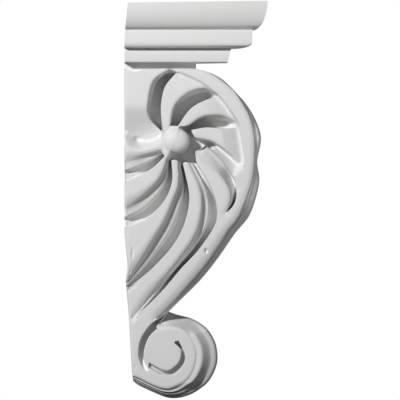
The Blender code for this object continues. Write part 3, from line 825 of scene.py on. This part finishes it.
def fieldPoints():
    fill = scroll["fill"]
    xs = np.arange(*field["x"], fill)
    places = [(x + (row % 2) * fill / 2, z)
              for row, z in enumerate(np.arange(*field["z"], fill * field["row"])) for x in xs]
    z, top = field["backZ"]
    while z < top:
        places += [(backX(z) + gap, z) for gap in field["backGaps"]]
        z += scroll["linePitch"]
    line = smoothLine(bandEdge, field["bandPitch"])
    for before, after in zip(line, line[1:]):
        way = (after - before).normalized()
        places += [tuple((before + after) / 2 - gap * Vector((-way.y, way.x))) for gap in field["bandGaps"]]
    return np.array(places)


def sideSheet(sections):
    sheet = Sheet()
    outline = addOutline(sheet, sections)
    addEdges(sheet)
    polygons = [carveFlute(sheet, flute) for flute in flutes]
    polygons.append(carveGroove(sheet, grooveInner, grooveOuter, grooveSection, grooveFloor,
                                scroll["grooveDepth"]))
    polygons.append(carveGroove(sheet, eyeInner, eyeOuter, eyeSection, eyeFloor, scroll["eyeDepth"]))
    ring = [Vector(edge[0]) for edge in ringEdges]
    addRibEnds(sheet, ring)
    addBoss(sheet)

    pitch = scroll["regionPitch"]
    creaseLine = smoothLine(toBack(crease), pitch)
    beyond = [Vector(corner) for corner in ((-5, -61), (-5, 5), (44.5, 5))]  # outside the outline
    regions = {
        "blade": creaseLine + beyond + smoothLine(aSoft, pitch)[::-1],
        "foot": smoothLine(aCrisp, pitch) + smoothLine(bandEdge, pitch) + smoothLine(dSoft, pitch)[::-1],
        "last": creaseLine + smoothLine(toBack(iSoft), pitch)[::-1],
    }
    places = fieldPoints()
    keep = inside(places, outline)
    for polygon in polygons:
        keep &= ~inside(places, polygon)
    places = places[keep][::-1]
    inHollow = inside(places, ring)
    within = {name: inside(places, polygon) for name, polygon in regions.items()}
    for number, place in enumerate(places):
        point = Vector(place)
        if sheet.isFree(point, field["free"]):
            region = next((name for name in within if within[name][number]), None)
            sheet.add(point, bossLevel(point) if inHollow[number] else faceLevel(point, region))
    print("side face set out,", len(sheet.points), "points")
    return sheet, outline


def sheetMesh(sheet):
    points, _, faces, sources, *_ = delaunay_2d_cdt(sheet.points, sheet.edges, [], 1, 0.001)
    tree = treeOf(sheet.points)
    mesh = bmesh.new()
    for point, numbers in zip(points, sources):
        near = numbers or [tree.find((point.x, point.y, 0))[1]]
        level = min(sheet.levels[number] for number in near)
        mesh.verts.new((point.x * step, -scroll["halfWidth"] - level * mm, point.y * step))
    mesh.verts.ensure_lookup_table()
    for corners in faces:
        mesh.faces.new([mesh.verts[number] for number in corners])
    loose = [vert for vert in mesh.verts if not vert.link_faces]
    bmesh.ops.delete(mesh, geom=loose, context="VERTS")
    print("side face meshed,", len(mesh.faces), "triangles")
    return mesh


def frontPlans(outline, sections):
    # for each point of the outline, where its rows lie
    plans = []
    rowCount = (len(plain[0]) + 1) * frontParts
    for number, point in enumerate(outline):
        if number < len(sections):
            before = sections[max(0, number - 1)][0]
            after = sections[min(len(sections) - 1, number + 1)][0]
            way = (after - before).normalized()
            normal = Vector((-way.y, way.x))
            plans.append(sectionRows(sections[number], normal))
        else:
            onBack = abs(point.x - backX(point.y)) < 0.01
            flat = Vector((0, point.y)) if onBack and point.y > backRows["wallFrom"] else point
            near = [(point.lerp(flat, row / backRows["count"]), backRows["inward"] * row)
                    for row in range(1, backRows["count"] + 1)]
            plans.append(near + [near[-1]] * (rowCount - len(near) - 1) + [(flat, 1.0)])
    return plans


def extrudeFront(mesh, outline, plans):
    # the rim of the side face is drawn in row by row to the middle of the width
    tree = treeOf([point * step for point in outline])
    rim = [edge for edge in mesh.edges if edge.is_boundary]
    verts = {vert for edge in rim for vert in edge.verts}
    starts = {vert: vert.co.copy() for vert in verts}
    owners = {vert: tree.find((vert.co.x, vert.co.z, 0))[1] for vert in verts}
    current = {vert: vert for vert in verts}
    rowCount = len(plans[0])
    for row in range(rowCount):
        before = {vert: origin for origin, vert in current.items()}
        made = bmesh.ops.extrude_edge_only(mesh, edges=rim)["geom"]
        fresh = {item for item in made if isinstance(item, bmesh.types.BMVert)}
        rim = [item for item in made if isinstance(item, bmesh.types.BMEdge)
               and all(vert in fresh for vert in item.verts)]
        places = {}
        for vert in fresh:
            origin = next(before[edge.other_vert(vert)] for edge in vert.link_edges
                          if edge.other_vert(vert) in before)
            plan, inward = plans[owners[origin]][row]
            y = max(-scroll["halfWidth"] * (1 - inward), starts[origin].y) if row < rowCount - 1 else 0.0
            places[vert] = (plan.x * step, y, plan.y * step)
            current[origin] = vert
        for vert, place in places.items():
            vert.co = place


weld = {"merge": 0.000002, "flatArea": 1e-14, "flatEdge": 0.0000005}


def makeScroll():
    sections = frontSections()
    sheet, outline = sideSheet(sections)
    mesh = sheetMesh(sheet)
    extrudeFront(mesh, outline, frontPlans(outline, sections))
    print("front carried over,", len(mesh.faces), "faces")
    bmesh.ops.mirror(mesh, geom=mesh.verts[:] + mesh.edges[:] + mesh.faces[:], merge_dist=-1,
                     matrix=Matrix.Identity(4), axis="Y")
    bmesh.ops.remove_doubles(mesh, verts=mesh.verts, dist=weld["merge"])
    if any(face.calc_area() < weld["flatArea"] for face in mesh.faces):
        bmesh.ops.dissolve_degenerate(mesh, edges=mesh.edges, dist=weld["flatEdge"])
    for vert in mesh.verts:
        if vert.co.y < scroll["seenSide"]:
            vert.co.y -= flawLevel(Vector((vert.co.x, vert.co.z)) / step) * mm
    bmesh.ops.recalc_face_normals(mesh, faces=mesh.faces)
    openEdges = sum(1 for edge in mesh.edges if not edge.is_manifold)
    print("scroll closed, open edges", openEdges, "volume", mesh.calc_volume() * 1e6, "cm3")
    return meshObject("corbelCast", mesh)


# The moulded cap, sizes in mm.
cap = {
    "seat": 4,  # how far the neck stands in the scroll
    "neckHeight": 6, "neckSplay": 1, "neckSetback": 14,
    "filletHeight": 12.5, "filletProjection": 96, "filletDraft": 3, "filletOverhang": 1.5,
    "fasciaHeight": 17, "fasciaProjection": 115, "fasciaOverhang": 12, "fasciaLip": 0.2,
    "fasciaUndercut": 5.5, "fasciaNosing": 4.5, "nosingSteps": 10,
    "ovoloHeight": 25, "ovoloProjection": 13.7, "ovoloSteps": 20,
    "edge": 0.5,  # worn roundness of the lowest edge
    "edgeRows": ((-0.2, 1), (0.1, 0.3)),  # height over it, share of the roundness
    "backLean": 3.1, "leanFrom": 27,  # the back leans off the wall above this height
    "topSag": 1.5,  # how much lower the top is at the wall
}


def capLevels():
    # height, projection from the wall and half width of each level, upwards
    c = cap
    neckX = border[0][1][0] * step * 1000
    half = scroll["halfWidth"] * 1000
    neckY = half - c["neckSetback"]
    filletTop = c["neckHeight"] + c["filletHeight"]
    filletX = c["filletProjection"] - c["filletDraft"]
    filletY = half + c["filletOverhang"]
    fasciaTop = filletTop + c["fasciaHeight"]
    fasciaY = half + c["fasciaOverhang"]
    levels = [(-c["seat"], neckX, neckY), (c["neckHeight"] - c["neckSplay"], neckX, neckY)]
    for rise, share in c["edgeRows"]:
        levels.append((c["neckHeight"] + rise, filletX - share * c["edge"], filletY - share * c["edge"]))
    levels += [(c["neckHeight"] + c["edge"], filletX, filletY), (filletTop, c["filletProjection"], filletY)]
    growth = c["fasciaProjection"] - c["filletProjection"]
    for number in range(c["nosingSteps"] + 1):
        turn = math.pi / 2 * number / c["nosingSteps"]
        rise = c["fasciaLip"] + (c["fasciaUndercut"] - c["fasciaLip"]) * (1 - math.cos(turn))
        levels.append((filletTop + rise, c["filletProjection"] + growth * math.sin(turn),
                       fasciaY - c["fasciaNosing"] * (1 - math.sin(turn))))
    levels.append((fasciaTop, c["fasciaProjection"], fasciaY))
    for number in range(1, c["ovoloSteps"] + 1):
        turn = math.pi / 2 * number / c["ovoloSteps"]
        out = c["ovoloProjection"] * math.sin(turn)
        levels.append((fasciaTop + c["ovoloHeight"] * (1 - math.cos(turn)),
                       c["fasciaProjection"] + out, fasciaY + out))
    return [tuple(value * mm for value in level) for level in levels]


def makeCap():
    levels = capLevels()
    mesh = bmesh.new()

    def corners(level):
        height, projection, half = level
        low = cap["leanFrom"] * mm
        lean = max(0.0, (height - low) / (levels[-1][0] - low))
        back, wallHeight = lean * cap["backLean"] * mm, height - lean ** 2 * cap["topSag"] * mm
        return [(back, -half, wallHeight), (projection, -half, height), (projection, half, height),
                (back, half, wallHeight)]

    bmesh.ops.create_grid(mesh, x_segments=1, y_segments=1, size=0.5)
    mesh.faces.ensure_lookup_table()
    face = mesh.faces[0]
    for vert, corner in zip(face.verts, corners(levels[0])):
        vert.co = corner
    for number, level in enumerate(levels[1:]):
        made = bmesh.ops.extrude_face_region(mesh, geom=[face])["geom"]
        if number > 0:
            bmesh.ops.delete(mesh, geom=[face], context="FACES_ONLY")
        face = next(item for item in made if isinstance(item, bmesh.types.BMFace))
        for vert, corner in zip(face.verts, corners(level)):
            vert.co = corner
    bmesh.ops.recalc_face_normals(mesh, faces=mesh.faces)
    return meshObject("cap", mesh)


def unite(item, other):
    join = item.modifiers.new("cap", "BOOLEAN")
    join.operation = "UNION"
    join.solver = "MANIFOLD"
    join.object = other
    data = bpy.data.meshes.new_from_object(item.evaluated_get(bpy.context.evaluated_depsgraph_get()))
    item.modifiers.clear()
    item.data = data
    data.name = "corbelCast"
    bpy.data.objects.remove(other)
    data.shade_smooth()
    data.set_sharp_from_angle(angle=math.radians(scroll["sharpAngle"]))
    print("cap joined")


class Value:
    # a shader socket that takes part in Python sums
    def __init__(self, nodes, socket):
        self.nodes, self.socket = nodes, socket

    def sum(self, operation, first, second):
        return self.nodes.node("ShaderNodeMath", {"operation": operation}, {0: first, 1: second})

    def __add__(self, other):
        return self.sum("ADD", self, other)

    def __radd__(self, other):
        return self.sum("ADD", other, self)

    def __sub__(self, other):
        return self.sum("SUBTRACT", self, other)

    def __rsub__(self, other):
        return self.sum("SUBTRACT", other, self)

    def __mul__(self, other):
        return self.sum("MULTIPLY", self, other)

    def __rmul__(self, other):
        return self.sum("MULTIPLY", other, self)


class Finish:
    def __init__(self, name):
        self.material = bpy.data.materials.new(name)
        self.material.use_nodes = True
        self.tree = self.material.node_tree
        self.shader = self.tree.nodes["Principled BSDF"]
        self.place = self.node("ShaderNodeTexCoord", {}, {}, "Object")

    def node(self, kind, settings, inputs, output=0):
        made = self.tree.nodes.new(kind)
        for key, value in settings.items():
            setattr(made, key, value)
        for key, value in inputs.items():
            if isinstance(value, Value):
                self.tree.links.new(value.socket, made.inputs[key])
            else:
                made.inputs[key].default_value = value
        return Value(self, made.outputs[output])

    def noise(self, scale, detail, roughness=0.5):
        return self.node("ShaderNodeTexNoise", {}, {"Vector": self.place, "Scale": scale, "Detail": detail,
                                                    "Roughness": roughness}, "Fac")

    def set(self, name, value):
        if isinstance(value, Value):
            self.tree.links.new(value.socket, self.shader.inputs[name])
        else:
            self.shader.inputs[name].default_value = value


primer = {
    "color": (0.80, 0.80, 0.795, 1),
    "shade": (0.755, 0.755, 0.75, 1),
    "mottleShare": 0.6, "waveShare": 0.4,  # of what turns shade into color
    "grain": 1100, "grainDetail": 4, "grainRoughness": 0.6,
    "mottle": 70, "mottleDetail": 4,
    "wave": 18, "waveDetail": 2,
    "roughness": 0.55, "mottleGloss": 0.12, "grainGloss": 0.1,
    "specular": 0.4,
    "bump": 0.00012, "bumpStrength": 0.5, "mottleBump": 1.5,
}


def primedWhite():
    p = primer
    f = Finish("primedWhite")
    grain = f.noise(p["grain"], p["grainDetail"], p["grainRoughness"])
    mottle = f.noise(p["mottle"], p["mottleDetail"])
    wave = f.noise(p["wave"], p["waveDetail"])
    tone = f.node("ShaderNodeMix", {"data_type": "RGBA"},
                  {0: mottle * p["mottleShare"] + wave * p["waveShare"], 6: p["shade"], 7: p["color"]}, 2)
    f.set("Base Color", tone)
    f.set("Roughness", p["roughness"] + (mottle - 0.5) * p["mottleGloss"] + (grain - 0.5) * p["grainGloss"])
    f.set("Specular IOR Level", p["specular"])
    bump = f.node("ShaderNodeBump", {}, {"Strength": p["bumpStrength"], "Distance": p["bump"],
                                         "Height": grain + mottle * p["mottleBump"]})
    f.set("Normal", bump)
    return f.material


# A pale floor under the corbel, a white backdrop that only the camera sees, and two soft lamps.
stage = {
    "floorZ": -0.40, "floorX": 0.06, "floorRadius": 0.75, "floorSegments": 96,
    "floorColor": (0.85, 0.85, 0.84, 1), "floorRoughness": 0.8,
    "ambient": 0.05,
    "middle": (0.06, 0, -0.12),
    "lamps": {
        "key": {"way": (-0.44, -0.81, 0.39), "far": 1.7, "size": 0.15, "power": 26.8},
        "fill": {"way": (0.92, -0.17, -0.35), "far": 1.7, "size": 0.8, "power": 14},
    },
}


def addStage():
    mesh = bmesh.new()
    bmesh.ops.create_circle(mesh, cap_ends=True, segments=stage["floorSegments"],
                            radius=stage["floorRadius"])
    floor = meshObject("floor", mesh)
    floor.location = (stage["floorX"], 0, stage["floorZ"])
    paint = Finish("paleFloor")
    paint.set("Base Color", stage["floorColor"])
    paint.set("Roughness", stage["floorRoughness"])
    floor.data.materials.append(paint.material)
    floor.visible_diffuse = False

    world = bpy.data.worlds.new("studio")
    scene.world = world
    world.use_nodes = True
    nodes, links = world.node_tree.nodes, world.node_tree.links
    dim = nodes["Background"]
    dim.inputs["Strength"].default_value = stage["ambient"]
    white = nodes.new("ShaderNodeBackground")
    white.inputs["Color"].default_value = (1, 1, 1, 1)
    path = nodes.new("ShaderNodeLightPath")
    mix = nodes.new("ShaderNodeMixShader")
    links.new(path.outputs["Is Camera Ray"], mix.inputs[0])
    links.new(dim.outputs[0], mix.inputs[1])
    links.new(white.outputs[0], mix.inputs[2])
    links.new(mix.outputs[0], nodes["World Output"].inputs["Surface"])

    middle = Vector(stage["middle"])
    for name, plan in stage["lamps"].items():
        light = bpy.data.lights.new(name, "AREA")
        light.shape = "DISK"
        light.size = plan["size"]
        light.energy = plan["power"]
        lamp = addObject(name, light)
        lamp.location = middle + Vector(plan["way"]).normalized() * plan["far"]
        aim(lamp, middle)
    print("floor and lamps set")


addCamera(shot, scroll["halfWidth"])
casting = makeScroll()
unite(casting, makeCap())
casting.data.materials.clear()
casting.data.materials.append(primedWhite())
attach(casting, "root")
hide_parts("corbel")
print("corbel cast,", len(casting.data.polygons), "faces")
addStage()
